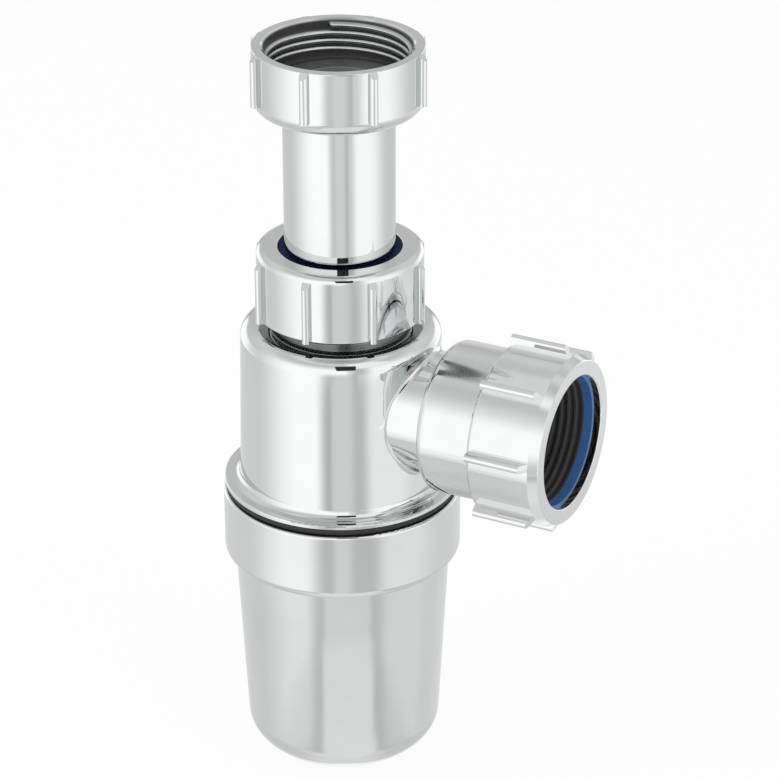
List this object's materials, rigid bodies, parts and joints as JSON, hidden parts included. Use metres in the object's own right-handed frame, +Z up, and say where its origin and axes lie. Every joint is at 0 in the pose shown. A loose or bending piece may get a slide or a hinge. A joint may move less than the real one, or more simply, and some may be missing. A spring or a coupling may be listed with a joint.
{
  "type": "bottle trap",
  "caption": "Chrome plated telescopic bottle trap for a basin waste, with a ribbed inlet nut, sliding inlet tube, screw-off cup and side outlet with a compression nut.",
  "frame": {"origin": "centre of the flat of the cup's base", "axes": "+Z up along the bottle and inlet tube, +X out along the side outlet"},
  "size_m": [0.1093, 0.07, 0.2259],
  "materials": {
    "chrome_plate": "polished plating on moulded plastic",
    "black_rubber": "smooth",
    "grey_rubber": "matt",
    "blue_plastic": "satin",
    "navy_plastic": "satin",
    "white_plastic": "matt moulded"
  },
  "bodies": {
    "trap_body": {"trap_body": "chrome_plate", "dip_tube": "white_plastic", "adjuster_seal": "black_rubber", "outlet_seal": "black_rubber"},
    "inlet_tube": {"inlet_tube": "chrome_plate", "inlet_washer": "grey_rubber"},
    "inlet_nut": {"inlet_nut": "chrome_plate"},
    "adjuster_slip_ring": {"adjuster_slip_ring": "navy_plastic"},
    "adjuster_nut": {"adjuster_nut": "chrome_plate"},
    "cup_seal": {"cup_seal": "black_rubber"},
    "bottle_cup": {"bottle_cup": "chrome_plate"},
    "outlet_slip_ring": {"outlet_slip_ring": "blue_plastic"},
    "outlet_nut": {"outlet_nut": "chrome_plate"}
  },
  "joints": [
    {"name": "inlet_tube_slide", "type": "slide", "parent": "trap_body", "child": "inlet_tube", "axis": [0, 0, 1], "range_m": [-0.028, 0.025]},
    {"name": "inlet_nut_turn", "type": "hinge", "parent": "inlet_tube", "child": "inlet_nut", "pos_m": [0, 0, 0.2162], "axis": [0, 0, 1], "continuous": true},
    {"name": "adjuster_lift", "type": "slide", "parent": "trap_body", "child": "adjuster_slip_ring", "axis": [0, 0, 1], "range_m": [0, 0.012]},
    {"name": "adjuster_nut_turn", "type": "hinge", "parent": "adjuster_slip_ring", "child": "adjuster_nut", "pos_m": [0, 0, 0.155], "axis": [0, 0, 1], "range_deg": [0, 1870]},
    {"name": "cup_drop", "type": "slide", "parent": "trap_body", "child": "cup_seal", "axis": [0, 0, -1], "range_m": [0, 0.014]},
    {"name": "bottle_cup_turn", "type": "hinge", "parent": "cup_seal", "child": "bottle_cup", "pos_m": [0, 0, 0.078], "axis": [0, 0, -1], "range_deg": [0, 1259]},
    {"name": "outlet_draw", "type": "slide", "parent": "trap_body", "child": "outlet_slip_ring", "axis": [1, 0, 0], "range_m": [0, 0.013]},
    {"name": "outlet_nut_turn", "type": "hinge", "parent": "outlet_slip_ring", "child": "outlet_nut", "pos_m": [0.0637, 0, 0.1188], "axis": [1, 0, 0], "range_deg": [0, 2026]}
  ],
  "couplings": [
    {"joint": "adjuster_lift", "follows": "adjuster_nut_turn", "m_per_rad": 0.00036749},
    {"joint": "cup_drop", "follows": "bottle_cup_turn", "m_per_rad": 0.00063662},
    {"joint": "outlet_draw", "follows": "outlet_nut_turn", "m_per_rad": 0.00036749}
  ]
}
